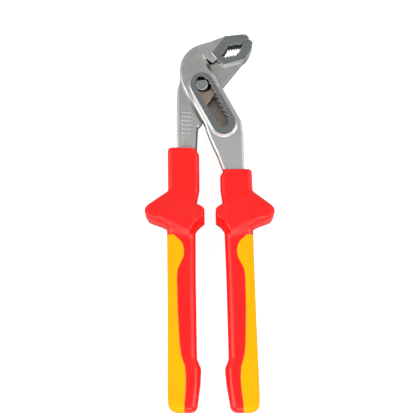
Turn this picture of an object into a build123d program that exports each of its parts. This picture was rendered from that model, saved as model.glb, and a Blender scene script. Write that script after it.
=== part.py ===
from build123d import *
from math import cos, hypot, radians, sin
import os

# Tongue and groove pliers, 250 mm class, with insulated handles. Millimetres.
# The tool lies flat: X across the handles, Y towards the jaws, Z up through the thickness.
# The origin is the middle of the tool's footprint, on the plane that the guards rest on.

# Heights, measured from the mid-plane of the tool unless a name says otherwise.
MID_Z = 13.0  # mid-plane above the rest plane, which is half the guard's thickness
PLATE_HALF = 5.5  # slotted lever
BOSS_HALF = 7.6  # ground boss round the slot
NECK_HALF = 7.2  # neck beside the top of the boss
JAW_HALF = 5.8  # ground faces of both jaw heads
SHELF_HALF = 4.8  # slotted lever between its neck and its jaw head
CHANNEL_HALF = 3.35  # space between the cheeks
TONGUE_HALF = 3.2  # through lever's tongue and arm
TANG_HALF = 3.6  # both levers inside their handles
BOLT_FRONT = 7.25
BOLT_BACK = 5.6
SLOT_FLOOR = 5.9  # the rear cheek's slot is blind and stops this far behind the mid-plane

# Pivot and slot. A place on the slotted lever is a distance down the slot from the pivot
# and a distance to the right of the slot's line.
PIVOT = (-5.3, 89.2)
SLOT_LEAN = 28.6  # degrees from -Y towards +X
POSITIONS = 9
PITCH = 3.5
BOLT_R = 3.9
FLAT_DEPTH = 1.3
BOLT_RUNNING_GAP = 0.05
SLOT_SIDE_GAP = 0.15
SLOT_TOP_GAP = 1.5
SLOT_END_GAP = 0.6
GROOVE_R = 2.1
GROOVE_OUT = 3.0  # groove centres to the right of the slot's line
BOSS_R = 7.9
BOSS_LENGTH = 29.8  # between the centres of its round ends
BOSS_SLOPE = 30.0  # degrees from the vertical
CHEEK_LEFT = 10.9
CHEEK_RIGHT = 10.9
TONGUE_R = 14.9
BRIDGE_GAP = 0.45
BRIDGE_END = 146.0  # degrees round the pivot, where the solid neck stops above the arm's shoulder
EDGE_CHAMFER = 1.1
ARM_CHAMFER = 1.2

# Jaws
JAW_GAP = 0.3  # between the closed jaws
FINE_TEETH = 8
COARSE_TEETH = 5
TOOTH_DEPTH = 1.1
JAW_SLOPE = 28.0  # degrees from the vertical, under the lower jaw

# Raised pips on both faces of the through lever's arm
PIPS = 9
PIPS_X = -15.1
PIPS_Y = 49.4
PIP_PITCH = 2.75
PIP_LENGTH = 6.2
PIP_WIDTH = 1.2
PIP_HEIGHT = 0.45

# Handles: one moulded profile, mirrored. "Out" is the distance outwards from a handle's
# middle line, away from the other handle.
HANDLES = {
    "left": {"side": -1, "mid_x": -18.63, "lean": 0.0117, "top": 46.6, "sleeve_in": 12.0, "sleeve_out": 8.4},
    "right": {"side": 1, "mid_x": 18.38, "lean": 0.0318, "top": 32.3, "sleeve_in": 10.9, "sleeve_out": 9.8},
}
WING_IN = {"left": 15.1, "right": 14.6}
HANDLE_END = -124.6
GRIP_HALF = 9.2
TANG_WIDTH = 9.6
TANG_END = -98.0
LINER_WALL = 1.5
LINER_TOP = 16.0

os.makedirs("parts", exist_ok=True)


def slot_point(down, right):
    """A place given along and across the slot, in the tool's XY."""
    a = radians(SLOT_LEAN)
    return (PIVOT[0] + down * sin(a) + right * cos(a), PIVOT[1] - down * cos(a) + right * sin(a))


def slab(face, half):
    """A flat outline made into a plate that is centred on the mid-plane."""
    return Pos(0, 0, MID_Z - half) * extrude(face, amount=2 * half, dir=(0, 0, 1))


def raised(face, base_half, top_half, slope):
    """An outline that rises from base_half to top_half on both faces, with walls that slope."""
    top = Pos(0, 0, MID_Z + top_half) * face
    upper = extrude(top, amount=top_half - base_half, dir=(0, 0, -1), taper=-slope)
    return upper + upper.mirror(Plane.XY.offset(MID_Z)) + slab(face, base_half)


def bevelled(face, half, size):
    """A plate whose edges are chamfered on both faces."""
    upper = extrude(Pos(0, 0, MID_Z + half - size) * face, amount=size, dir=(0, 0, 1), taper=45)
    return upper + upper.mirror(Plane.XY.offset(MID_Z)) + slab(face, half - size)


def closed(*segments):
    """The face inside a chain of edges."""
    return make_face(Wire(list(Wire.combine(list(segments))[0].edges())).edges())


def polygon(points):
    return make_face(Polyline(*points, close=True).edges())


def tooth_line(start, end, count, depth):
    """Points of a saw-tooth line from start to end; depth is to the left of the line's direction."""
    length = hypot(end[0] - start[0], end[1] - start[1])
    ux = (end[0] - start[0]) / length
    uy = (end[1] - start[1]) / length
    points = [start]
    for k in range(count):
        along = (k + 0.5) * length / count
        points.append((start[0] + ux * along - uy * depth, start[1] + uy * along + ux * depth))
        along = (k + 1) * length / count
        points.append((start[0] + ux * along, start[1] + uy * along))
    return points


def moved(points, dx, dy):
    return [(x + dx, y + dy) for x, y in points]


# The line where the jaws meet, from the throat to the start of the hollow, and at the tips.
THROAT = (1.6, 104.3)
HOLLOW_HEEL = (8.6, 110.9)
HOLLOW_TOP = (11.4, 115.4)
HOLLOW_TOP_END = (19.6, 116.6)
TIP_MEET = (21.2, 117.9)
TIP_END = (25.8, 120.6)


def upper_jaw_edge():
    """The upper jaw's working edge, from the throat to the tip."""
    fine = tooth_line(THROAT, HOLLOW_HEEL, FINE_TEETH, -0.55)
    heel = tooth_line(HOLLOW_HEEL, HOLLOW_TOP, 4, -0.5)
    coarse = tooth_line(HOLLOW_TOP, HOLLOW_TOP_END, COARSE_TEETH, TOOTH_DEPTH)
    return fine + heel[1:] + coarse[1:] + [TIP_MEET, TIP_END]


def lower_jaw_edge():
    """The lower jaw's working edge, from the throat to the tip, clear of the upper jaw."""
    away = (0.62 * JAW_GAP + 0.12, -0.78 * JAW_GAP - 0.12)
    meet = 0.78
    heel_stop = (
        THROAT[0] + meet * (HOLLOW_HEEL[0] - THROAT[0]),
        THROAT[1] + meet * (HOLLOW_HEEL[1] - THROAT[1]),
    )
    fine = moved(tooth_line(THROAT, heel_stop, FINE_TEETH - 2, -0.55), *away)
    floor = tooth_line((9.2, 108.3), (17.6, 109.9), 4, -0.8)
    front = tooth_line((18.4, 111.0), (21.0, 115.4), 3, -0.7)
    tips = moved([TIP_MEET, TIP_END], *away)
    return fine + floor + front + [(21.5, 116.6)] + tips


def outer_edge():
    """The slotted lever's outer side, from the crown of the jaw down to the handle."""
    left_top = slot_point(6.0, -CHEEK_LEFT)
    left_low = slot_point(24.0, -CHEEK_LEFT)
    return [
        ThreePointArc((-7.4, 116.2), (-16.9, 108.9), (-19.8, 98.6)),
        ThreePointArc((-19.8, 98.6), (-18.2, 88.4), left_top),
        Line(left_top, left_low),
        ThreePointArc(left_low, (-0.2, 53.6), (4.6, 43.0)),
        Polyline((4.6, 43.0), (9.2, 30.5), (10.8, 25.5)),
    ]


def inner_edge():
    """The slotted lever's side towards the lower jaw, from the handle up."""
    right_low = slot_point(33.5, CHEEK_RIGHT)
    return [
        Polyline((23.4, 25.5), (22.2, 35.0), (21.9, 52.0)),
        ThreePointArc((21.9, 52.0), (21.0, 61.4), right_low),
        Line(right_low, slot_point(-10.0, CHEEK_RIGHT)),
    ]


CROWN = [(21.8, 123.85), (9.6, 122.5), (7.2, 121.7), (-7.4, 116.2)]


def slotted_outline():
    """The slotted lever seen from the front: upper jaw, neck, cheeks and arm."""
    edge = upper_jaw_edge()
    right_top = slot_point(-14.4, CHEEK_RIGHT)
    nose = [TIP_END, (25.6, 121.9), (23.9, 123.6)]
    return closed(
        Polyline(slot_point(-10.0, CHEEK_RIGHT), right_top, *edge),
        Polyline(*nose, *CROWN),
        *outer_edge(),
        Line((10.8, 25.5), (23.4, 25.5)),
        *inner_edge(),
    )


def eased(half):
    """The slotted lever as a plate with chamfered outer edges, and square ones at the jaw's teeth."""
    across = Polyline(slot_point(-10.0, CHEEK_RIGHT), (60, 96), (60, 126), *CROWN)
    foot = Polyline((10.8, 25.5), (12.0, 20.0), (22.0, 20.0), (23.4, 25.5))
    blank = closed(across, *outer_edge(), foot, *inner_edge())
    return slab(slotted_outline(), half) & bevelled(blank, half, EDGE_CHAMFER)


def throat_chamfer():
    """What the neck keeps behind the cheek's chamfer, which widens where the neck is thicker."""
    low, high = slot_point(60.0, CHEEK_RIGHT), slot_point(-10.0, CHEEK_RIGHT)
    inside = polygon([low, high, (60, 96), (60, 140), (-60, 140), (-60, 20)])
    return bevelled(inside, NECK_HALF, NECK_HALF - PLATE_HALF + EDGE_CHAMFER)


def solid_neck():
    """The thick part of the slotted lever, which falls towards the jaw and down both cheeks."""
    lean = radians(SLOT_LEAN)
    neck = eased(NECK_HALF) & throat_chamfer()
    neck -= fall((-5.6, 96.6), (0.91, 0.415), 17.0, SHELF_HALF)
    return neck - fall(slot_point(-4.0, 0), (sin(lean), -cos(lean)), 16.0, SHELF_HALF)


def channel_space():
    """The space between the cheeks that the through lever turns and slides in."""
    reach = TONGUE_R + BRIDGE_GAP
    disc = Pos(*PIVOT) * Circle(reach)
    corners = [slot_point(0, -reach), slot_point(0, reach + 4), (26.0, 64.5), (2.6, 42.6), (-9.0, 42.0)]
    end = radians(BRIDGE_END)
    shoulder_room = [PIVOT, (PIVOT[0] + 24 * cos(end), PIVOT[1] + 24 * sin(end)), (PIVOT[0] - 24, PIVOT[1])]
    return disc + polygon(corners) + polygon(shoulder_room)


def slot_window():
    """The slot through each cheek: smooth on the left, with a groove for each position on the right."""
    half = BOLT_R + SLOT_SIDE_GAP
    top = slot_point(-SLOT_TOP_GAP, 0)
    end = slot_point((POSITIONS - 1) * PITCH + SLOT_END_GAP, 0)
    track = polygon([
        slot_point(-SLOT_TOP_GAP, -half),
        slot_point(-SLOT_TOP_GAP, half),
        slot_point((POSITIONS - 1) * PITCH + SLOT_END_GAP, half),
        slot_point((POSITIONS - 1) * PITCH + SLOT_END_GAP, -half),
    ])
    window = track + Pos(*top) * Circle(half) + Pos(*end) * Circle(half)
    for k in range(POSITIONS):
        window += Pos(*slot_point(k * PITCH, GROOVE_OUT)) * Circle(GROOVE_R)
    return window


def stadium(radius, start, end):
    a, b = slot_point(start, -radius), slot_point(start, radius)
    c, d = slot_point(end, radius), slot_point(end, -radius)
    return closed(
        Line(d, a),
        ThreePointArc(a, slot_point(start - radius, 0), b),
        Line(b, c),
        ThreePointArc(c, slot_point(end + radius, 0), d),
    )


def handle_x(name, out, y):
    h = HANDLES[name]
    return h["mid_x"] - h["lean"] * y + h["side"] * out


def tang(name, top, width, half, end):
    """The lever's flat tang inside a handle."""
    points = []
    for out, y in ((width / 2, top), (width / 2 - 1.0, end), (1.0 - width / 2, end), (-width / 2, top)):
        points.append((handle_x(name, out, y), y))
    return slab(polygon(points), half)


def fall(start, towards, run, low):
    """What is cut from both faces so that the neck falls gently to a lower height."""
    ux, uy = towards
    across = Plane(origin=(start[0], start[1], MID_Z), x_dir=(ux, uy, 0), z_dir=(uy, -ux, 0))
    high = NECK_HALF + 0.01
    profile = closed(
        Spline((0, high), (run, low), tangents=[(1, 0), (1, 0)]),
        Polyline((run, low), (90, low), (90, 20), (0, 20), (0, high)),
    )
    upper = extrude(across * profile, amount=60, both=True)
    return upper + upper.mirror(Plane.XY.offset(MID_Z))


def upper_jaw_head():
    """The ground face of the upper jaw, with its sloped heel."""
    around = polygon([(1.2, 111.3), (6.6, 104.4), (30, 100), (32, 127), (13.6, 127)])
    return raised(around, SHELF_HALF - 0.5, JAW_HALF, 45) & slab(slotted_outline(), JAW_HALF + 1)


def slotted_lever():
    jaw_side = polygon([(-7.4, 125), (0, 107), (10, 100), (60, 90), (60, 130)])
    body = solid_neck() + (eased(PLATE_HALF) - slab(jaw_side, PLATE_HALF + 1))
    boss = raised(stadium(BOSS_R, 0, BOSS_LENGTH), SHELF_HALF - 0.5, BOSS_HALF, BOSS_SLOPE)
    body += boss & slab(slotted_outline(), BOSS_HALF + 1)
    body += upper_jaw_head()
    body -= slab(channel_space(), CHANNEL_HALF)
    cut = extrude(slot_window(), amount=SLOT_FLOOR + BOSS_HALF + 1, dir=(0, 0, 1))
    body -= Pos(0, 0, MID_Z - SLOT_FLOOR) * cut
    return body + tang("right", 28.0, TANG_WIDTH, TANG_HALF, TANG_END)


def through_outline():
    """The thin part of the through lever: lower jaw, neck, tongue and the top of the arm."""
    edge = lower_jaw_edge()
    crest = (PIVOT[0] + TONGUE_R * cos(radians(72)), PIVOT[1] + TONGUE_R * sin(radians(72)))
    shoulder = (PIVOT[0] + TONGUE_R * cos(radians(177)), PIVOT[1] + TONGUE_R * sin(radians(177)))
    peak = (PIVOT[0] + TONGUE_R * cos(radians(125)), PIVOT[1] + TONGUE_R * sin(radians(125)))
    front = [edge[-1], (28.2, 118.5), (27.6, 115.6), (25.6, 110.2), (23.6, 107.4), (21.8, 105.5)]
    return closed(
        Polyline(crest, *edge),
        Polyline(*front),
        Polyline(front[-1], (8.5, 88.8), (2.2, 82.4), (-1.8, 76.6), (-4.6, 66.0), (-5.6, 63.6), (-7.7, 61.0),
                 (-8.0, 56.0)),
        Polyline((-8.0, 56.0), (-21.85, 56.0), (-21.9, 78.0), (-21.5, 86.2)),
        ThreePointArc((-21.5, 86.2), (-21.1, 88.6), shoulder),
        ThreePointArc(shoulder, peak, crest),
    )


def through_lever():
    arm = polygon([(-21.85, 60.0), (-7.8, 60.0), (-8.5, 46.0), (-9.0, 38.0), (-21.6, 38.0), (-21.8, 46.0)])
    blank = polygon([
        (-9.0, 38.0), (-8.5, 46.0), (-8.0, 58.0), (-7.7, 61.0), (40.0, 61.0), (40.0, 130.0), (0.0, 130.0),
        (-20.6, 96.0), (-21.5, 86.2), (-21.9, 78.0), (-21.85, 56.0), (-21.8, 46.0), (-21.6, 38.0),
    ])
    body = slab(through_outline(), TONGUE_HALF) + slab(arm, TONGUE_HALF)
    body &= bevelled(blank, TONGUE_HALF, ARM_CHAMFER)
    around = [(3.6, 106.9), (9.2, 102.9), (22.9, 106.7), (24.6, 108.6), (29.6, 118), (30, 126), (3, 126)]
    head = polygon(around)
    body += raised(head, TONGUE_HALF - 0.5, JAW_HALF, JAW_SLOPE) & slab(through_outline(), JAW_HALF + 1)
    for k in range(PIPS):
        pip = Pos(PIPS_X, PIPS_Y + k * PIP_PITCH) * SlotOverall(PIP_LENGTH, PIP_WIDTH)
        body += raised(pip, TONGUE_HALF - 0.5, TONGUE_HALF + PIP_HEIGHT, 20)
    body += tang("left", 39.0, TANG_WIDTH, TANG_HALF, TANG_END)
    bore = slab(Pos(*PIVOT) * Circle(BOLT_R + BOLT_RUNNING_GAP), TONGUE_HALF + 1)
    return body - bore


def hinge_bolt():
    """A round pin whose ends have one flat each, in the slots of both cheeks."""
    pin = Pos(*PIVOT, MID_Z - BOLT_BACK) * extrude(Circle(BOLT_R), amount=BOLT_BACK + BOLT_FRONT)
    pin = chamfer(pin.edges().filter_by(GeomType.CIRCLE), 0.35)
    shank = TONGUE_HALF + 0.3
    for low, high in ((shank, BOLT_FRONT + 1), (-BOLT_BACK - 1, -shank)):
        block = Rot(0, 0, 8) * Pos(0, BOLT_R - FLAT_DEPTH + 5, (low + high) / 2) * Box(20, 10, high - low)
        pin -= Pos(PIVOT[0], PIVOT[1], MID_Z) * block
    return pin


def handle_outline(name):
    """The sleeve and grip of one handle seen from the front, without the guard's wings."""
    h = HANDLES[name]
    top = h["top"]
    spots = [
        (h["sleeve_out"] - 3.5, top), (h["sleeve_out"], top - 4.0), (h["sleeve_out"], 20.0), (9.2, 8.0),
        (9.1, -60.0), (9.5, -114.0), (7.4, -121.5), (2.0, HANDLE_END), (-5.0, HANDLE_END), (-9.4, -121.0),
        (-11.3, -107.0), (-11.9, -97.0), (-9.3, -91.0), (-9.0, -40.0), (-9.2, -8.0),
        (-h["sleeve_in"] + 1.6, 8.0), (-h["sleeve_in"], 20.0), (-h["sleeve_in"], top - 5.0),
        (-h["sleeve_in"] + 3.5, top),
    ]
    return polygon([(handle_x(name, out, y), y) for out, y in spots])


def guard_outline(name):
    """The two wings of the guard seen from the front."""
    inner = WING_IN[name]
    spots = [
        (8.0, 18.0), (21.6, 8.4), (23.3, 6.3), (23.5, 3.5), (21.0, -0.8), (9.3, -5.6), (-9.2, -8.2),
        (3.6 - inner, -5.4), (-inner, -2.6), (-inner, 5.4), (1.4 - inner, 7.1), (-9.6, 9.2),
    ]
    return polygon([(handle_x(name, out, y), y) for out, y in spots])


def guard_block():
    """The guard's side profile, as a bar right across the tool."""
    side = [(21.0, 8.2), (3.6, MID_Z), (-1.4, MID_Z), (-8.4, 8.6)]
    points = [(y, MID_Z + z) for y, z in side] + [(y, MID_Z - z) for y, z in reversed(side)]
    face = make_face(Polyline(*points, close=True).edges())
    return extrude(Plane.YZ.offset(-50) * face, amount=100)


def grip_shape(name):
    """The outside of one handle: sleeve, guard and grip."""
    grip = slab(handle_outline(name), GRIP_HALF)
    rim = grip.edges().filter_by(lambda e: abs(abs(e.center().Z - MID_Z) - GRIP_HALF) < 1e-4)
    grip = chamfer(rim, 2.6)
    return grip + (slab(guard_outline(name), MID_Z) & guard_block())


def pad_prism(name):
    """The outer side of the grip that the soft pad takes up, seen from the front."""
    spots = [
        (5.6, -11.1), (2.3, -13.2), (-0.5, -16.5), (-1.8, -21.0), (-1.5, -25.5), (0.6, -29.8), (2.6, -34.0),
        (3.0, -40.0), (2.7, -60.0), (1.6, -82.0), (0.6, -89.4), (-1.6, -95.8), (-2.3, -103.0), (-1.9, -112.0),
        (-0.6, -124.3),
    ]
    edge = [(handle_x(name, out, y), y) for out, y in spots]
    far = [(handle_x(name, 30, -128.0), -128.0), (handle_x(name, 30, -11.8), -11.8)]
    start = [(handle_x(name, 8.6, -11.8), -11.8)]
    tail = [(handle_x(name, -0.4, -128.0), -128.0)]
    face = closed(Polyline(*tail, *far, *start), Spline(*start, *edge, *tail))
    return slab(face, GRIP_HALF + 2)


def liner_block(name):
    """The outside of the inner insulating liner round the tang."""
    return tang(name, LINER_TOP, TANG_WIDTH + 2 * LINER_WALL, TANG_HALF + LINER_WALL, TANG_END - 2.5)


def handle_parts(name, lever):
    """The liner, moulded grip and soft pad of one handle, fitted round the lever's tang."""
    block = liner_block(name)
    outside = grip_shape(name)
    prism = pad_prism(name)
    liner = block - lever
    pad = (outside & prism) - block
    grip = outside - prism - block - lever
    return {f"{name}_inner_liner": liner, f"{name}_grip": grip, f"{name}_soft_pad": pad}


parts = {"slotted_lever": slotted_lever(), "through_lever": through_lever(), "hinge_bolt": hinge_bolt()}
parts |= handle_parts("left", parts["through_lever"])
parts |= handle_parts("right", parts["slotted_lever"])

for name, shape in parts.items():
    export_step(shape, f"parts/{name}.step")
    print(name, len(shape.solids()), round(shape.volume))
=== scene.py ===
import math

import bmesh
import bpy
import numpy as np
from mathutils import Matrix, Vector


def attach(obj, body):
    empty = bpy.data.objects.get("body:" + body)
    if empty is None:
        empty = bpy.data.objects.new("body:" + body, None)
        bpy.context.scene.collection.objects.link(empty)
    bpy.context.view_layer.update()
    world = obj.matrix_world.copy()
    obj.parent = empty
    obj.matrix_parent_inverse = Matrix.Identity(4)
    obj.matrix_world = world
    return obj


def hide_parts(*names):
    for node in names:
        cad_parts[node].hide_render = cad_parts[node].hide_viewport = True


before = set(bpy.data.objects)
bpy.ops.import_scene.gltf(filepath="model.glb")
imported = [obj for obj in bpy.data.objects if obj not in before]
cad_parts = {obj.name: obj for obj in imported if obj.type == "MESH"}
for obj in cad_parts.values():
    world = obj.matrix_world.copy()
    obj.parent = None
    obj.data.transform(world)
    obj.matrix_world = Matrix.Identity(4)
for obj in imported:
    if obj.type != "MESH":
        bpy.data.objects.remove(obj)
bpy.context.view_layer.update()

# Lengths in this script are in millimetres and MM turns them into the frame's metres.
MM = 0.001
MID_Z = 13.0  # the tool's mid-plane above the surface that it lies on


# ---------------------------------------------------------------- camera, light and floor

TILT = math.radians(11.2)  # how far the camera leans back from straight down
DISTANCE = 1.0  # metres
LOOK_AT = Vector((0.0, 7.0, 10.0)) * MM
FOCAL_PX = 1533.0
FRAME_PX = 420.0
SENSOR_MM = 36.0

FLOOR_HALF = 3.0  # metres
FLOOR_GAP = 0.05  # between the floor and the plane that the tool rests on
FLOOR_GREY = 0.4
FLOOR_GLOW = 0.88


def make_camera():
    data = bpy.data.cameras.new("camera")
    data.sensor_width = SENSOR_MM
    data.lens = SENSOR_MM * FOCAL_PX / FRAME_PX
    data.clip_start = 0.01
    data.clip_end = 20.0
    camera = bpy.data.objects.new("camera", data)
    bpy.context.scene.collection.objects.link(camera)
    forward = Vector((0.0, math.sin(TILT), -math.cos(TILT)))
    camera.location = LOOK_AT - forward * DISTANCE
    camera.rotation_euler = (TILT, 0.0, 0.0)
    bpy.context.scene.camera = camera


def area_light(name, place, size, watts):
    """A softbox that points at the middle of the tool. Place and size are in metres."""
    data = bpy.data.lights.new(name, "AREA")
    data.shape = "RECTANGLE"
    data.size, data.size_y = size
    data.energy = watts
    lamp = bpy.data.objects.new(name, data)
    bpy.context.scene.collection.objects.link(lamp)
    lamp.location = place
    lamp.rotation_euler = (-Vector(place)).to_track_quat("-Z", "Y").to_euler()


def make_world():
    """A studio that is darker straight overhead, where the camera hangs, than round the sides."""
    world = bpy.data.worlds.new("studio")
    world.use_nodes = True
    tree = world.node_tree
    background = tree.nodes["Background"]
    place = tree.nodes.new("ShaderNodeTexCoord")
    split = tree.nodes.new("ShaderNodeSeparateXYZ")
    ramp = tree.nodes.new("ShaderNodeValToRGB")
    tree.links.new(place.outputs["Generated"], split.inputs[0])
    tree.links.new(split.outputs["Z"], ramp.inputs["Fac"])
    tree.links.new(ramp.outputs["Color"], background.inputs["Color"])
    ramp.color_ramp.elements[0].position = 0.45
    ramp.color_ramp.elements[0].color = (0.9, 0.9, 0.9, 1)
    ramp.color_ramp.elements[1].position = 0.98
    ramp.color_ramp.elements[1].color = (0.42, 0.43, 0.43, 1)
    background.inputs["Strength"].default_value = 0.85
    bpy.context.scene.world = world


def make_floor():
    """White paper. The camera alone sees it glow, and it lights the tool only by reflecting the lamps."""
    half = FLOOR_HALF
    mesh = bpy.data.meshes.new("floor")
    corners = [(-half, -half, 0), (half, -half, 0), (half, half, 0), (-half, half, 0)]
    mesh.from_pydata(corners, [], [(0, 1, 2, 3)])
    floor = bpy.data.objects.new("floor", mesh)
    bpy.context.scene.collection.objects.link(floor)
    floor.location.z = -FLOOR_GAP * MM
    material = bpy.data.materials.new("floor_paper")
    material.use_nodes = True
    tree = material.node_tree
    shader = tree.nodes["Principled BSDF"]
    shader.inputs["Base Color"].default_value = (FLOOR_GREY, FLOOR_GREY, FLOOR_GREY, 1)
    shader.inputs["Roughness"].default_value = 0.9
    shader.inputs["Emission Color"].default_value = (1, 1, 1, 1)
    glow = tree.nodes.new("ShaderNodeMath")
    glow.operation = "MULTIPLY"
    glow.inputs[1].default_value = FLOOR_GLOW
    tree.links.new(tree.nodes.new("ShaderNodeLightPath").outputs["Is Camera Ray"], glow.inputs[0])
    tree.links.new(glow.outputs[0], shader.inputs["Emission Strength"])
    floor.data.materials.append(material)


def make_studio():
    bpy.context.scene.view_settings.view_transform = "Standard"
    make_world()
    make_floor()
    for name, way in (("left", -1), ("right", 1)):
        area_light(f"softbox_{name}", (way * 1.1, -0.35, 0.85), (1.0, 1.0), 10.5)
        area_light(f"side_panel_{name}", (way * 1.2, -0.1, 0.2), (1.1, 0.35), 0.9)
    area_light("softbox_low", (0.0, -1.25, 0.5), (1.6, 0.6), 7.0)


# ---------------------------------------------------------------- materials

class Nodes:
    """A material and short ways to add the nodes that its textures are made of."""

    def __init__(self, name):
        self.material = bpy.data.materials.new(name)
        self.material.use_nodes = True
        self.tree = self.material.node_tree
        self.shader = self.tree.nodes["Principled BSDF"]
        self.place = self.tree.nodes.new("ShaderNodeTexCoord").outputs["Object"]

    def plug(self, value, socket):
        if isinstance(value, bpy.types.NodeSocket):
            self.tree.links.new(value, socket)
        else:
            socket.default_value = value

    def math(self, operation, a, b=0.0):
        node = self.tree.nodes.new("ShaderNodeMath")
        node.operation = operation
        self.plug(a, node.inputs[0])
        self.plug(b, node.inputs[1])
        return node.outputs[0]

    def split(self, vector):
        node = self.tree.nodes.new("ShaderNodeSeparateXYZ")
        self.tree.links.new(vector, node.inputs[0])
        return node.outputs

    def noise(self, size_mm, detail=2.0, stretch=(1.0, 1.0, 1.0)):
        """Noise whose features are about size_mm across."""
        scale = self.tree.nodes.new("ShaderNodeVectorMath")
        scale.operation = "MULTIPLY"
        self.tree.links.new(self.place, scale.inputs[0])
        scale.inputs[1].default_value = [1.0 / (size_mm * MM * s) for s in stretch]
        node = self.tree.nodes.new("ShaderNodeTexNoise")
        node.inputs["Scale"].default_value = 1.0
        node.inputs["Detail"].default_value = detail
        self.tree.links.new(scale.outputs[0], node.inputs["Vector"])
        return node.outputs["Fac"]

    def spread(self, value, low, high, start=0.3, end=0.7):
        """Maps start to end onto low to high and stops there. The defaults suit the middle of a noise."""
        node = self.tree.nodes.new("ShaderNodeMapRange")
        self.plug(value, node.inputs["Value"])
        node.inputs["From Min"].default_value = start
        node.inputs["From Max"].default_value = end
        node.inputs["To Min"].default_value = low
        node.inputs["To Max"].default_value = high
        return node.outputs["Result"]

    def mix(self, factor, a, b):
        node = self.tree.nodes.new("ShaderNodeMix")
        node.data_type = "RGBA"
        self.plug(factor, node.inputs["Factor"])
        self.plug(a, node.inputs[6])
        self.plug(b, node.inputs[7])
        return node.outputs[2]

    def bump(self, height, depth_mm, strength=1.0):
        node = self.tree.nodes.new("ShaderNodeBump")
        node.inputs["Strength"].default_value = strength
        node.inputs["Distance"].default_value = depth_mm * MM
        self.tree.links.new(height, node.inputs["Height"])
        self.tree.links.new(node.outputs[0], self.shader.inputs["Normal"])

    def set(self, **values):
        for name, value in values.items():
            self.plug(value, self.shader.inputs[name.replace("_", " ")])


PIVOT = (-5.3, 89.2)
SLOT_END = (8.1, 64.6)
SLOT_REACH = 6.3  # from the slot's line to past its grooves
SLOT_TOP_Y = 96.0
SLOT_FLOOR_Z = (6.5, 7.5)  # heights above the rest plane between which the blind slot ends
JAW_START = (1.6, 104.3)
JAW_END = (25.8, 120.6)
JAW_REACH = 5.6  # from the line of the jaws to past their teeth
JAW_FROM_Y = 104.0
THROAT = (-1.5, 104.5)
THROAT_SHADE_FADE = (4.0, 9.0)  # the painted brown shade is full within the first distance and gone at the second
TONGUE_PATCH = (-2.4, 83.9)
TONGUE_REACH = 9.0
BOLT_GAP_SHADE_PLACE = (-3.7, 90.4)  # the middle of the painted black shade round the bolt
BOLT_GAP_SHADE_REACH = 5.3
CHEEK_SHADOW_START = (-11.0, 74.8)  # the painted shadow line that the cheek's edge casts on the arm of the through lever
CHEEK_SHADOW_END = (-1.9, 58.1)
CHEEK_SHADOW_FADE = (0.3, 1.5)
CHEEK_SHADOW_SOFT_TOP = 4.0  # how far either side of its start the line fades in
INNER_SIDE_Y = (36.0, 78.0)
PAINTED_LIGHT_FADE_Y = (45.0, 95.0)  # the painted light on the satin is strongest up to the first y
PAINTED_LIGHT_REST = 0.08  # how much of the painted light near the handles is left beyond the second y
WHEEL = (2.0, 40.0)  # the centre of the grinding arcs
WHEEL_PITCH = 0.55

# The upward part of a surface's normal is over FLAT on a flat face, under SLOPED on a chamfer or steeper,
# and under WALL on a wall. Its part along the frame's +X is over FACES_RIGHT on a face that looks right.
FLAT = 0.993
WALL = 0.5
SLOPED = 0.93
FACES_RIGHT = 0.4

# Linear colours
# Painted light: the satin steel is painted lighter towards the handles.
PAINTED_LIGHT_NEAR_HANDLES = (0.84, 0.84, 0.82, 1)
# Painted shade for the walls in the slot and between the teeth.
SHADED_WALL = (0.08, 0.07, 0.06, 1)
# Painted shade on the blind slot's deep floor, unevenly mixed between these two.
SLOT_SHADE_BROWN = (0.42, 0.36, 0.3, 1)
SLOT_SHADE_GREY = (0.62, 0.55, 0.48, 1)
# Painted shade on the sloped faces round the throat.
THROAT_SHADE = (0.24, 0.19, 0.155, 1)
TONGUE_TAN = (0.7, 0.52, 0.38, 1)
TONGUE_BROWN = (0.52, 0.4, 0.31, 1)
# Painted shadow of the cheek's edge on the through lever's arm.
CHEEK_SHADOW_BROWN = (0.13, 0.105, 0.085, 1)
# Painted shade on the through lever's faces that look towards the other lever.
SIDE_SHADE = (0.2, 0.17, 0.15, 1)
# Painted shade, near black, in the gap round the bolt.
BOLT_GAP_SHADE = (0.012, 0.011, 0.01, 1)
RED = (0.95, 0.01, 0.008, 1)
DEEP_RED = (0.9, 0.008, 0.006, 1)
YELLOW = (0.9, 0.44, 0.0, 1)
DEEP_YELLOW = (0.88, 0.415, 0.0, 1)
AMBER = (0.9, 0.42, 0.02, 1)
DEEP_AMBER = (0.8, 0.36, 0.015, 1)


def band(n, value, low, high):
    """1 where value is between low and high."""
    above = n.math("GREATER_THAN", value, low)
    below = n.math("LESS_THAN", value, high)
    return n.math("MULTIPLY", above, below)


def off_line(n, x, y, start, end):
    """The distance from the line from start to end, which goes on past both."""
    ux, uy = end[0] - start[0], end[1] - start[1]
    length = math.hypot(ux, uy)
    across = n.math("SUBTRACT", n.math("MULTIPLY", x, -uy / length), n.math("MULTIPLY", y, -ux / length))
    offset = (-uy * start[0] + ux * start[1]) / length
    return n.math("ABSOLUTE", n.math("SUBTRACT", across, offset * MM))


def near_line(n, x, y, start, end, width):
    return n.math("LESS_THAN", off_line(n, x, y, start, end), width * MM)


def off_point(n, x, y, centre):
    """The distance from an upright line through centre."""
    dx = n.math("SUBTRACT", x, centre[0] * MM)
    dy = n.math("SUBTRACT", y, centre[1] * MM)
    return n.math("SQRT", n.math("ADD", n.math("MULTIPLY", dx, dx), n.math("MULTIPLY", dy, dy)))


def near_point(n, x, y, centre, reach):
    return n.math("LESS_THAN", off_point(n, x, y, centre), reach * MM)


def grey(n, value, gains):
    node = n.tree.nodes.new("ShaderNodeCombineColor")
    for channel, gain in enumerate(gains):
        n.plug(n.math("MULTIPLY", value, gain), node.inputs[channel])
    return node.outputs[0]


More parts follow.
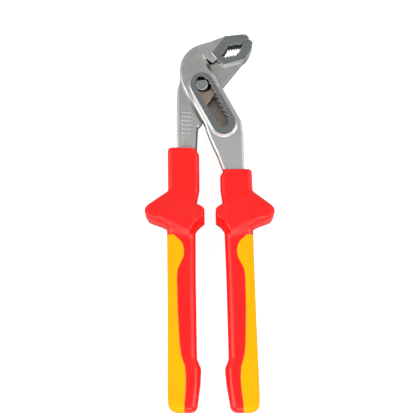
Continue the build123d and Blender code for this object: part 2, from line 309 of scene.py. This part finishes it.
class Surface:
    """Where a point of the steel is, and which way its surface faces."""

    def __init__(self, n):
        self.x, self.y, self.z = n.split(n.place)
        normal = n.tree.nodes.new("ShaderNodeNewGeometry").outputs["Normal"]
        across, _, up = n.split(normal)
        self.upright = n.math("ABSOLUTE", up)
        self.flat = n.math("GREATER_THAN", self.upright, FLAT)
        self.wall = n.math("LESS_THAN", self.upright, WALL)
        self.sloped = n.math("LESS_THAN", self.upright, SLOPED)
        self.faces_right = n.math("GREATER_THAN", across, FACES_RIGHT)
        self.height = n.math("ABSOLUTE", n.math("SUBTRACT", self.z, MID_Z * MM))


def ground_mask(n, at, ground_from, jaw_face):
    """1 on the flat faces that stand proud of the forging and are ground."""
    ground = n.math("GREATER_THAN", at.height, ground_from * MM)
    if jaw_face:
        low, high, from_y = jaw_face
        beyond = n.math("GREATER_THAN", at.y, from_y * MM)
        on_jaw = n.math("MULTIPLY", band(n, at.height, low * MM, high * MM), beyond)
        ground = n.math("MAXIMUM", ground, on_jaw)
    return n.math("MULTIPLY", ground, at.flat)


def shade_recesses(n, at, colour):
    """Painted shade: dark walls in the slot and between the teeth, a shaded brown-grey on the slot's deep
    floor, and brown in the throat.
    """
    beyond = n.math("GREATER_THAN", at.y, JAW_FROM_Y * MM)
    below = n.math("LESS_THAN", at.y, SLOT_TOP_Y * MM)
    jaws = n.math("MULTIPLY", near_line(n, at.x, at.y, JAW_START, JAW_END, JAW_REACH), beyond)
    slot = n.math("MULTIPLY", near_line(n, at.x, at.y, PIVOT, SLOT_END, SLOT_REACH), below)
    # Painted shade: the walls in the slot and between the jaws' teeth are painted dark.
    shaded_walls = n.math("MAXIMUM", n.math("MULTIPLY", jaws, 0.6), n.math("MULTIPLY", slot, 0.95))
    colour = n.mix(n.math("MULTIPLY", shaded_walls, at.wall), colour, SHADED_WALL)
    # Painted shade: the blind slot's deep floor is painted a shaded brown-grey.
    low, high = SLOT_FLOOR_Z
    deep = n.math("MULTIPLY", n.math("MULTIPLY", slot, at.flat), band(n, at.z, low * MM, high * MM))
    slot_floor_shade = n.mix(n.spread(n.noise(3.0, 3.0), 0.0, 1.0), SLOT_SHADE_BROWN, SLOT_SHADE_GREY)
    colour = n.mix(deep, colour, slot_floor_shade)
    # Painted shade: sloped faces near the throat are painted brown, which also dims their highlight.
    near, far = THROAT_SHADE_FADE
    throat = n.spread(off_point(n, at.x, at.y, THROAT), 1.0, 0.0, near * MM, far * MM)
    return n.mix(n.math("MULTIPLY", throat, at.sloped), colour, THROAT_SHADE)


def tan_and_painted_shade(n, at, colour):
    """The through lever's tan patch under the slot, and painted shade: the shadow line along the cheek's
    edge, its dark inner side and the black shade round the bolt.
    """
    # The flat faces round TONGUE_PATCH are coloured tan, unevenly mixed between two tans.
    tan_patch = n.math("MULTIPLY", near_point(n, at.x, at.y, TONGUE_PATCH, TONGUE_REACH), at.flat)
    tan = n.mix(n.spread(n.noise(1.6, 3.0), 0.0, 1.0), TONGUE_TAN, TONGUE_BROWN)
    colour = n.mix(tan_patch, colour, tan)
    # Painted shadow: a dark line on the arm's flat faces along the cheek's edge, fading in at its top.
    near, far = CHEEK_SHADOW_FADE
    across = n.spread(off_line(n, at.x, at.y, CHEEK_SHADOW_START, CHEEK_SHADOW_END), 0.85, 0.0, near * MM, far * MM)
    top = CHEEK_SHADOW_START[1]
    along = n.spread(at.y, 1.0, 0.0, (top - CHEEK_SHADOW_SOFT_TOP) * MM, (top + CHEEK_SHADOW_SOFT_TOP) * MM)
    colour = n.mix(n.math("MULTIPLY", n.math("MULTIPLY", across, at.flat), along), colour, CHEEK_SHADOW_BROWN)
    # Painted shade: faces that look right, towards the other lever, are painted dark between these y.
    low, high = INNER_SIDE_Y
    shaded_inner_side = n.math("MULTIPLY", at.faces_right, band(n, at.y, low * MM, high * MM))
    colour = n.mix(shaded_inner_side, colour, SIDE_SHADE)
    # Painted shade: the flat faces round the bolt are painted near black.
    bolt_gap_shade = n.math("MULTIPLY", near_point(n, at.x, at.y, BOLT_GAP_SHADE_PLACE, BOLT_GAP_SHADE_REACH), at.flat)
    return n.mix(bolt_gap_shade, colour, BOLT_GAP_SHADE)


def steel(name, ground_from, jaw_face=None, with_tan_and_shade=False, painted_light_end=0.0, ground_gain=1.0):
    """Satin forged steel whose raised faces are ground, with painted shade and painted light. Heights are
    from the mid-plane, in mm.

    jaw_face is a band of heights and the lowest y of a ground jaw. painted_light_end is how far the satin
    goes towards its painted lighter colour near the handles, and ground_gain multiplies the ground faces'
    lightness."""
    n = Nodes(name)
    at = Surface(n)
    ground = ground_mask(n, at, ground_from, jaw_face)
    speckle = n.noise(0.55, 3.0)
    blotches = n.noise(5.0, 3.0)
    satin_light = n.math("ADD", n.spread(blotches, 0.5, 0.57), n.spread(speckle, -0.05, 0.05))
    arcs = grinding(n, at.x, at.y)
    ground_light = n.spread(arcs, 0.36 * ground_gain, 0.46 * ground_gain)
    satin_grey = grey(n, satin_light, (1.0, 1.0, 0.98))
    ground_grey = grey(n, ground_light, (0.94, 1.0, 1.03))
    colour = n.mix(ground, satin_grey, ground_grey)
    # Painted light: the satin, but not the ground faces, is painted lighter towards the handles.
    start, end = PAINTED_LIGHT_FADE_Y
    lit = n.spread(at.y, painted_light_end, PAINTED_LIGHT_REST, start * MM, end * MM)
    colour = n.mix(n.math("MULTIPLY", lit, n.math("SUBTRACT", 1.0, ground)), colour, PAINTED_LIGHT_NEAR_HANDLES)
    # Painted shade in the slot, between the teeth and in the throat.
    colour = shade_recesses(n, at, colour)
    # The through lever gets a tan patch and painted shade.
    if with_tan_and_shade:
        colour = tan_and_painted_shade(n, at, colour)
    satin_rough = n.spread(speckle, 0.36, 0.5)
    smoother = n.math("SUBTRACT", n.spread(arcs, 0.2, 0.3), satin_rough)
    n.set(
        Base_Color=colour,
        Metallic=1.0,
        Roughness=n.math("ADD", satin_rough, n.math("MULTIPLY", ground, smoother)),
    )
    n.bump(n.math("MULTIPLY", speckle, n.spread(ground, 1.0, 0.15, 0.0, 1.0)), 0.03, 0.5)
    return n.material


def grinding(n, x, y):
    """The fine circular scratches of a face ground under a cup wheel."""
    ring = n.tree.nodes.new("ShaderNodeTexNoise")
    ring.noise_dimensions = "1D"
    ring.inputs["Scale"].default_value = 1.0
    ring.inputs["Detail"].default_value = 3.0
    n.plug(n.math("DIVIDE", off_point(n, x, y, WHEEL), WHEEL_PITCH * MM), ring.inputs["W"])
    return ring.outputs["Fac"]


def plastic(name, colour, deep, roughness, grain_mm, grain_depth, index=1.47):
    """A moulded plastic: slightly uneven colour, and the fine grain of its mould."""
    n = Nodes(name)
    cloud = n.spread(n.noise(14.0, 2.0), 0.0, 1.0)
    grain = n.noise(grain_mm, 2.0)
    n.set(
        Base_Color=n.mix(cloud, colour, deep),
        Roughness=n.spread(grain, roughness - 0.04, roughness + 0.04),
        IOR=index,
    )
    n.bump(grain, grain_depth, 0.6)
    return n.material


# ---------------------------------------------------------------- handles
# A handle's own coordinates: "out" is the distance outwards from its middle line, away from the
# other handle, y runs along the tool, and heights are from the mid-plane. hole and foot are how far the
# grip's mouth reaches inwards, outwards and up: at its top, and just above the tang.

HANDLES = {
    "left": dict(side=-1, mid_x=-18.63, lean=0.0117, top=46.6, sleeve_in=12.0, sleeve_out=8.4,
                 wing_in=15.1, body="through_side", hole=(10.8, 2.75, 3.24), foot=(4.85, 4.85, 3.64)),
    "right": dict(side=1, mid_x=18.38, lean=0.0318, top=32.3, sleeve_in=10.9, sleeve_out=9.8,
                  wing_in=14.6, body="slotted_side", hole=(8.95, 5.2, 5.54), foot=(6.95, 6.0, 5.54)),
}
SLEEVE_HALF = 8.2
GUARD_HALF = 13.0
GRIP_HALF = 9.2
WING_DIP = 2.4  # how much lower than the grip the guard's wings are at their lower edge
GUARD_SLOPE = 18.0  # how far above its ridge the guard has fallen back to the sleeve
TOP_ROUND = 1.8
TOP_RINGS = 5
CROWN = 0.35  # how far the grip's faces curve away towards its sides
END_Y = -124.6
END_ROUND = 5.0
END_CAP = (0.75, 0.45, 0.15, 0.02)  # sizes of the rings that close the end, against the last round one
LINER_OUT, LINER_HALF = 6.34, 5.14  # the pocket that the liner fills
LINER_TOP, LINER_END = 16.03, -100.55
TANG_TOP = 25.5
TANG_HOLE = (4.88, 4.88, 3.64)
PAD_TOP = -11.1
PAD_DEPTH = 2.0
PAD_PLAY = 0.02
SEAM_DEPTH = 0.28
SEAM_WIDTH = 0.4

# The line along which the guard stands highest, from the inner wing's tip to the outer wing's.
RIDGE_OUT = [-15.1, -12.2, -9.8, -8.0, -5.4, 0.1, 6.1, 13.1, 18.8, 23.5]
RIDGE_Y = [0.8, 0.3, -1.0, -3.8, -7.2, -4.9, -1.7, 0.4, 1.0, 1.4]

# How the soft pad's edge runs down the front and the back of the grip.
PAD_EDGE = [
    (5.6, PAD_TOP), (2.3, -13.2), (-0.5, -16.5), (-1.8, -21.0), (-1.5, -25.5), (0.6, -29.8), (2.6, -34.0),
    (3.0, -40.0), (2.7, -60.0), (1.6, -82.0), (0.6, -89.4), (-1.6, -95.8), (-2.3, -103.0), (-1.9, -112.0),
    (-0.6, -124.3),
]


def smooth(t):
    t = np.clip(t, 0.0, 1.0)
    return t * t * (3 - 2 * t)


def softened(points, blur):
    """A function of y from (out, y) points, with its corners rounded over about blur mm."""
    ys = np.array([p[1] for p in points])
    outs = np.array([p[0] for p in points])
    order = np.argsort(ys)
    step = 0.05
    grid = np.arange(ys.min() - 6, ys.max() + 6, step)
    values = np.interp(grid, ys[order], outs[order])
    reach = int(3 * blur / step)
    kernel = np.exp(-0.5 * (np.arange(-reach, reach + 1) * step / blur) ** 2)
    padded = np.pad(values, reach, mode="edge")
    values = np.convolve(padded, kernel / kernel.sum(), mode="valid")
    return lambda y: np.interp(y, grid, values)


def handle_sides(h):
    """How far the handle reaches outwards and inwards from its middle line at each y."""
    top, wing = h["top"], h["wing_in"]
    sleeve_out, sleeve_in = h["sleeve_out"], h["sleeve_in"]
    outer = [
        (sleeve_out - 0.5, top), (sleeve_out, top - 2.0), (sleeve_out, 18.0), (21.6, 8.2), (23.3, 6.0),
        (23.5, 3.3), (21.0, -0.9), (9.4, -5.7), (9.2, -7.5), (9.1, -60.0), (9.5, -114.0), (9.0, END_Y),
    ]
    inner = [
        (sleeve_in - 3.4, top), (sleeve_in, top - 4.0), (sleeve_in, 20.0), (9.6, 9.4), (wing - 1.4, 7.2),
        (wing, 5.4), (wing, -2.6), (wing - 3.6, -5.4), (9.2, -8.0), (9.0, -40.0), (9.3, -91.0),
        (11.9, -97.0), (11.3, -107.0), (9.6, -119.0), (9.3, END_Y),
    ]
    return softened(outer, 0.55), softened(inner, 0.45)


def half_thickness(out, y):
    """The height of the handle's front above the mid-plane: flat grip, and guard rising to its ridge."""
    below = y - np.interp(out, RIDGE_OUT, RIDGE_Y)
    rise = np.clip(1 - below / GUARD_SLOPE, 0, 1)
    rise = np.where(rise < 0.12, rise * rise / 0.24, rise - 0.06) / 0.94
    length = np.interp(out, [-10, -7, 0, 9, 16, 23], [4.5, 6.5, 8.5, 8.0, 6.5, 5.5])
    fall = smooth(1 + below / length)
    wing = smooth((np.abs(out) - 8.6) / 4.5)
    above = SLEEVE_HALF + (GUARD_HALF - SLEEVE_HALF) * rise
    base = GRIP_HALF - WING_DIP * wing
    under = base + (GUARD_HALF - base) * fall
    return np.where(below > 0, above, under)


def corner_radius(y):
    spots = [-122, -100, -30, -14, -6, 4, 12, 22, 50]
    return np.interp(y, spots, [4.4, 4.6, 4.6, 4.4, 3.4, 2.4, 2.6, 3.5, 3.4])


# How many points a ring has across the front's red and yellow parts, round a corner and down a side.
FRONT_RED, FRONT_YELLOW, CORNER, SIDE = 16, 10, 7, 8


def ring(inner, outer, half, radius, divide, crown=0.0):
    """Points (out, height) round a rounded rectangle, starting where the pad's edge crosses the front and
    going outwards. half is the front's height, as a function of out."""
    radius = min(radius, (outer + inner) / 2.5)
    divide = float(np.clip(divide, radius - inner + 1.5 * SEAM_WIDTH, outer - radius - 1.5 * SEAM_WIDTH))
    turn = np.linspace(0, math.pi / 2, CORNER + 1)[1:]
    middle, reach = (outer - inner) / 2, (outer + inner) / 2

    def face(outs):
        return half(outs) - crown * ((outs - middle) / reach) ** 2

    yellow = np.concatenate([[divide, divide + SEAM_WIDTH],
                             np.linspace(divide + SEAM_WIDTH, outer - radius, FRONT_YELLOW)[1:]])
    outer_out = outer - radius + radius * np.sin(turn)
    outer_z = face(outer_out) - radius * (1 - np.cos(turn))
    inner_out = -inner + radius - radius * np.sin(turn)
    inner_z = face(inner_out) - radius * (1 - np.cos(turn))
    red = np.concatenate([[divide, divide - SEAM_WIDTH],
                          np.linspace(divide - SEAM_WIDTH, radius - inner, FRONT_RED)[1:]])
    side = np.linspace(1, -1, SIDE + 1)[1:-1]
    outs = [yellow, outer_out, np.full(SIDE - 1, outer), outer_out[::-1], yellow[::-1],
            red[1:], inner_out, np.full(SIDE - 1, -inner), inner_out[::-1], red[::-1][:-1]]
    heights = [face(yellow), outer_z, outer_z[-1] * side, -outer_z[::-1], -face(yellow[::-1]),
               -face(red[1:]), -inner_z, -inner_z[-1] * side, inner_z[::-1], face(red[::-1][:-1])]
    return np.stack([np.concatenate(outs), np.concatenate(heights)], axis=1)


PAD_COLUMNS = 2 * (FRONT_YELLOW + 1) + 2 * CORNER + SIDE - 1


def stations(h):
    """The y of each ring along the outside, from under the rounded top edge to the rounded end."""
    spans = [
        (h["top"] - TOP_ROUND, 23.0, 1.5),
        (23.0, PAD_TOP + 0.5, 0.45),
        (PAD_TOP + 0.35, PAD_TOP - 0.5, 0.35),
        (PAD_TOP - 0.8, -34.0, 0.6),
        (-34.0, -88.0, 1.8),
        (-88.0, -112.0, 0.8),
        (-112.0, END_Y + END_ROUND, 1.2),
    ]
    parts = [np.arange(start, stop, -step) for start, stop, step in spans]
    return np.append(np.concatenate(parts), END_Y + END_ROUND)


def handle_rings(h):
    """Rings of (out, y, height) along the outside of the handle and over its end, and the pad's first one."""
    outer, inner = handle_sides(h)
    edge = softened(PAD_EDGE, 0.9)
    rings = []
    for turn in np.linspace(math.pi / 2, 0, TOP_RINGS + 1)[:-1]:
        y = h["top"] - TOP_ROUND + TOP_ROUND * math.sin(turn)
        inset = TOP_ROUND * (1 - math.cos(turn))
        half = lambda o: half_thickness(o, h["top"]) - inset
        rings.append((y, ring(inner(y) - inset, outer(y) - inset, half, 2.0, edge(y))))
    ys = stations(h)
    for y in ys:
        half = lambda o: half_thickness(o, y)
        rings.append((y, ring(inner(y), outer(y), half, corner_radius(y), edge(y), CROWN)))
    first = TOP_RINGS + int(np.argmin(np.abs(ys - PAD_TOP)))
    y0 = ys[-1]
    last_divide = edge(y0)
    for turn in np.linspace(0, math.pi / 2, 9)[1:]:
        y = y0 - END_ROUND * math.sin(turn)
        inset = 1 - math.cos(turn)
        half = lambda o: half_thickness(o, y0) - 4.0 * inset
        left, right = inner(y0) - 4.2 * inset, outer(y0) - 6.4 * inset
        rings.append((y, ring(left, right, half, 4.4 - 1.4 * inset, last_divide, CROWN)))
    y, last = rings[-1]
    centre = np.array([last[0, 0], 0.0])
    for size in END_CAP:
        rings.append((y, centre + (last - centre) * size))
    out = np.array([[(o, y, z) for o, z in points] for y, points in rings])
    return out, first


def pocket_rings(h):
    """Rings down the inside of the grip: round the lever at the top, then round the liner."""
    spots = [
        (h["top"], h["hole"]),
        (TANG_TOP + 0.6, h["foot"]),
        (TANG_TOP, TANG_HOLE),
        (LINER_TOP + 0.05, TANG_HOLE),
        (LINER_TOP, (LINER_OUT, LINER_OUT, LINER_HALF)),
        (LINER_END, (LINER_OUT - 1.0, LINER_OUT - 1.0, LINER_HALF)),
    ]
    rings = []
    for y, (inner, outer, half) in spots:
        rings.append([(o, y, z) for o, z in ring(inner, outer, lambda o: o * 0 + half, 0.4, 0.0)])
    return np.array(rings)


def inward(rings):
    """The unit direction into the handle at each point of its rings."""
    along = np.gradient(rings, axis=0)
    round_it = np.roll(rings, -1, axis=1) - np.roll(rings, 1, axis=1)
    normal = np.cross(along, round_it)
    normal /= np.maximum(np.linalg.norm(normal, axis=2, keepdims=True), 1e-9)
    middle = rings.mean(axis=1, keepdims=True)
    return normal * np.sign(((middle - rings) * normal).sum())


def mesh_piece(name, points, faces, material, h):
    """A closed mesh from points in a handle's own coordinates, which rides with that handle."""
    mesh = bpy.data.meshes.new(name)
    out, y, z = points[:, 0], points[:, 1], points[:, 2]
    x = h["mid_x"] - h["lean"] * y + h["side"] * out
    mesh.from_pydata(np.stack([x * MM, y * MM, (z + MID_Z) * MM], axis=1).tolist(), [], faces)
    bm = bmesh.new()
    bm.from_mesh(mesh)
    bmesh.ops.recalc_face_normals(bm, faces=bm.faces)
    bm.to_mesh(mesh)
    bm.free()
    mesh.materials.append(material)
    mesh.polygons.foreach_set("use_smooth", [True] * len(mesh.polygons))
    mesh.set_sharp_from_angle(angle=math.radians(40))
    piece = bpy.data.objects.new(name, mesh)
    bpy.context.scene.collection.objects.link(piece)
    return piece


def make_grip(side, h, rings, normals, first, material):
    """The red handle: outside, end, the shallow bed that the pad lies in, and the pocket for the liner."""
    outside = rings.copy()
    depth = np.zeros(rings.shape[:2])
    depth[first, :PAD_COLUMNS] = SEAM_DEPTH
    depth[first:, 0] = SEAM_DEPTH
    depth[first:, PAD_COLUMNS - 1] = SEAM_DEPTH
    depth[first + 1:, 1:PAD_COLUMNS - 1] = PAD_DEPTH + PAD_PLAY
    outside += normals * depth[..., None]
    everything = np.concatenate([pocket_rings(h)[::-1], outside])
    rows, columns = everything.shape[:2]
    faces = []
    for r in range(rows - 1):
        for c in range(columns):
            d = (c + 1) % columns
            faces.append((r * columns + c, r * columns + d, (r + 1) * columns + d, (r + 1) * columns + c))
    faces.append(tuple(range(columns)))
    faces.append(tuple(range((rows - 1) * columns, rows * columns)))
    return mesh_piece(f"{side}_grip_moulding", everything.reshape(-1, 3), faces, material, h)


def make_pad(side, h, rings, normals, first, material):
    """The yellow pad: a shell flush with the grip, with a bevelled rim that fits its bed."""
    top = rings[first:, :PAD_COLUMNS].copy()
    inside = top + normals[first:, :PAD_COLUMNS] * (PAD_DEPTH - PAD_PLAY)
    dip = np.zeros(top.shape[:2])
    dip[0, :] = SEAM_DEPTH
    dip[:, 0] = SEAM_DEPTH
    dip[:, -1] = SEAM_DEPTH
    top += normals[first:, :PAD_COLUMNS] * dip[..., None]
    rows, columns = top.shape[:2]
    under = rows * columns

    def a(r, c):
        return r * columns + c

    def b(r, c):
        return under + r * columns + c

    faces = [(a(r, c), a(r, c + 1), a(r + 1, c + 1), a(r + 1, c))
             for r in range(rows - 1) for c in range(columns - 1)]
    faces += [(b(r, c), b(r, c + 1), b(r + 1, c + 1), b(r + 1, c))
              for r in range(1, rows - 1) for c in range(1, columns - 2)]
    last = columns - 1
    for r in range(1, rows - 1):
        faces.append((a(r, 0), a(r + 1, 0), b(r + 1, 1), b(r, 1)))
        faces.append((a(r, last), a(r + 1, last), b(r + 1, last - 1), b(r, last - 1)))
    for c in range(1, last - 1):
        faces.append((a(0, c), a(0, c + 1), b(1, c + 1), b(1, c)))
        faces.append((a(rows - 1, c), a(rows - 1, c + 1), b(rows - 1, c + 1), b(rows - 1, c)))
    faces.append((a(0, 0), a(1, 0), b(1, 1), a(0, 1)))
    faces.append((a(0, last), a(1, last), b(1, last - 1), a(0, last - 1)))
    faces.append((a(rows - 1, 0), a(rows - 1, 1), b(rows - 1, 1)))
    faces.append((a(rows - 1, last), a(rows - 1, last - 1), b(rows - 1, last - 1)))
    points = np.concatenate([top.reshape(-1, 3), inside.reshape(-1, 3)])
    used = sorted({i for face in faces for i in face})
    index = {old: new for new, old in enumerate(used)}
    faces = [tuple(index[i] for i in face) for face in faces]
    return mesh_piece(f"{side}_soft_pad_moulding", points[used], faces, material, h)


def make_handles(red, yellow):
    for side, h in HANDLES.items():
        rings, first = handle_rings(h)
        normals = inward(rings)
        grip = make_grip(side, h, rings, normals, first, red)
        pad = make_pad(side, h, rings, normals, first, yellow)
        for piece, node, slot in ((grip, "grip", "red_grip"), (pad, "soft_pad", "yellow_pad")):
            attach(piece, h["body"])
            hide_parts(f"{side}_{node}")


# ---------------------------------------------------------------- steel parts and liners

def ease_edges(obj, width_mm):
    """Breaks the sharp edges of a steel part."""
    weld = obj.modifiers.new("weld", "WELD")
    weld.merge_threshold = 0.001 * MM
    flat = obj.modifiers.new("flat", "DECIMATE")
    flat.decimate_type = "DISSOLVE"
    flat.angle_limit = math.radians(0.3)
    bevel = obj.modifiers.new("bevel", "BEVEL")
    bevel.width = width_mm * MM
    bevel.segments = 2
    bevel.limit_method = "ANGLE"
    bevel.angle_limit = math.radians(30)
    bevel.use_clamp_overlap = False
    bevel.harden_normals = True


def finish_nodes():
    finishes = {
        "slotted_lever": steel("slotted_steel", ground_from=7.45, jaw_face=(5.7, 5.95, 100.0), painted_light_end=0.6),
        "through_lever": steel("through_steel", ground_from=5.7, with_tan_and_shade=True, painted_light_end=0.6),
        "hinge_bolt": steel("bolt_steel", ground_from=6.9, ground_gain=1.35),
    }
    liner = plastic("liner_plastic", AMBER, DEEP_AMBER, roughness=0.5, grain_mm=0.5, grain_depth=0.01)
    # The nodes without a steel finish are the liners, and the grips and pads that mouldings replace.
    for name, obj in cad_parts.items():
        obj.data.materials.clear()
        obj.data.materials.append(finishes.get(name, liner))
        if name in finishes:
            ease_edges(obj, width_mm=0.15)


make_camera()
make_studio()
make_handles(
    plastic("red_plastic", RED, DEEP_RED, roughness=0.3, grain_mm=0.45, grain_depth=0.015),
    plastic("yellow_rubber", YELLOW, DEEP_YELLOW, roughness=0.7, grain_mm=0.35, grain_depth=0.03, index=1.2),
)
finish_nodes()
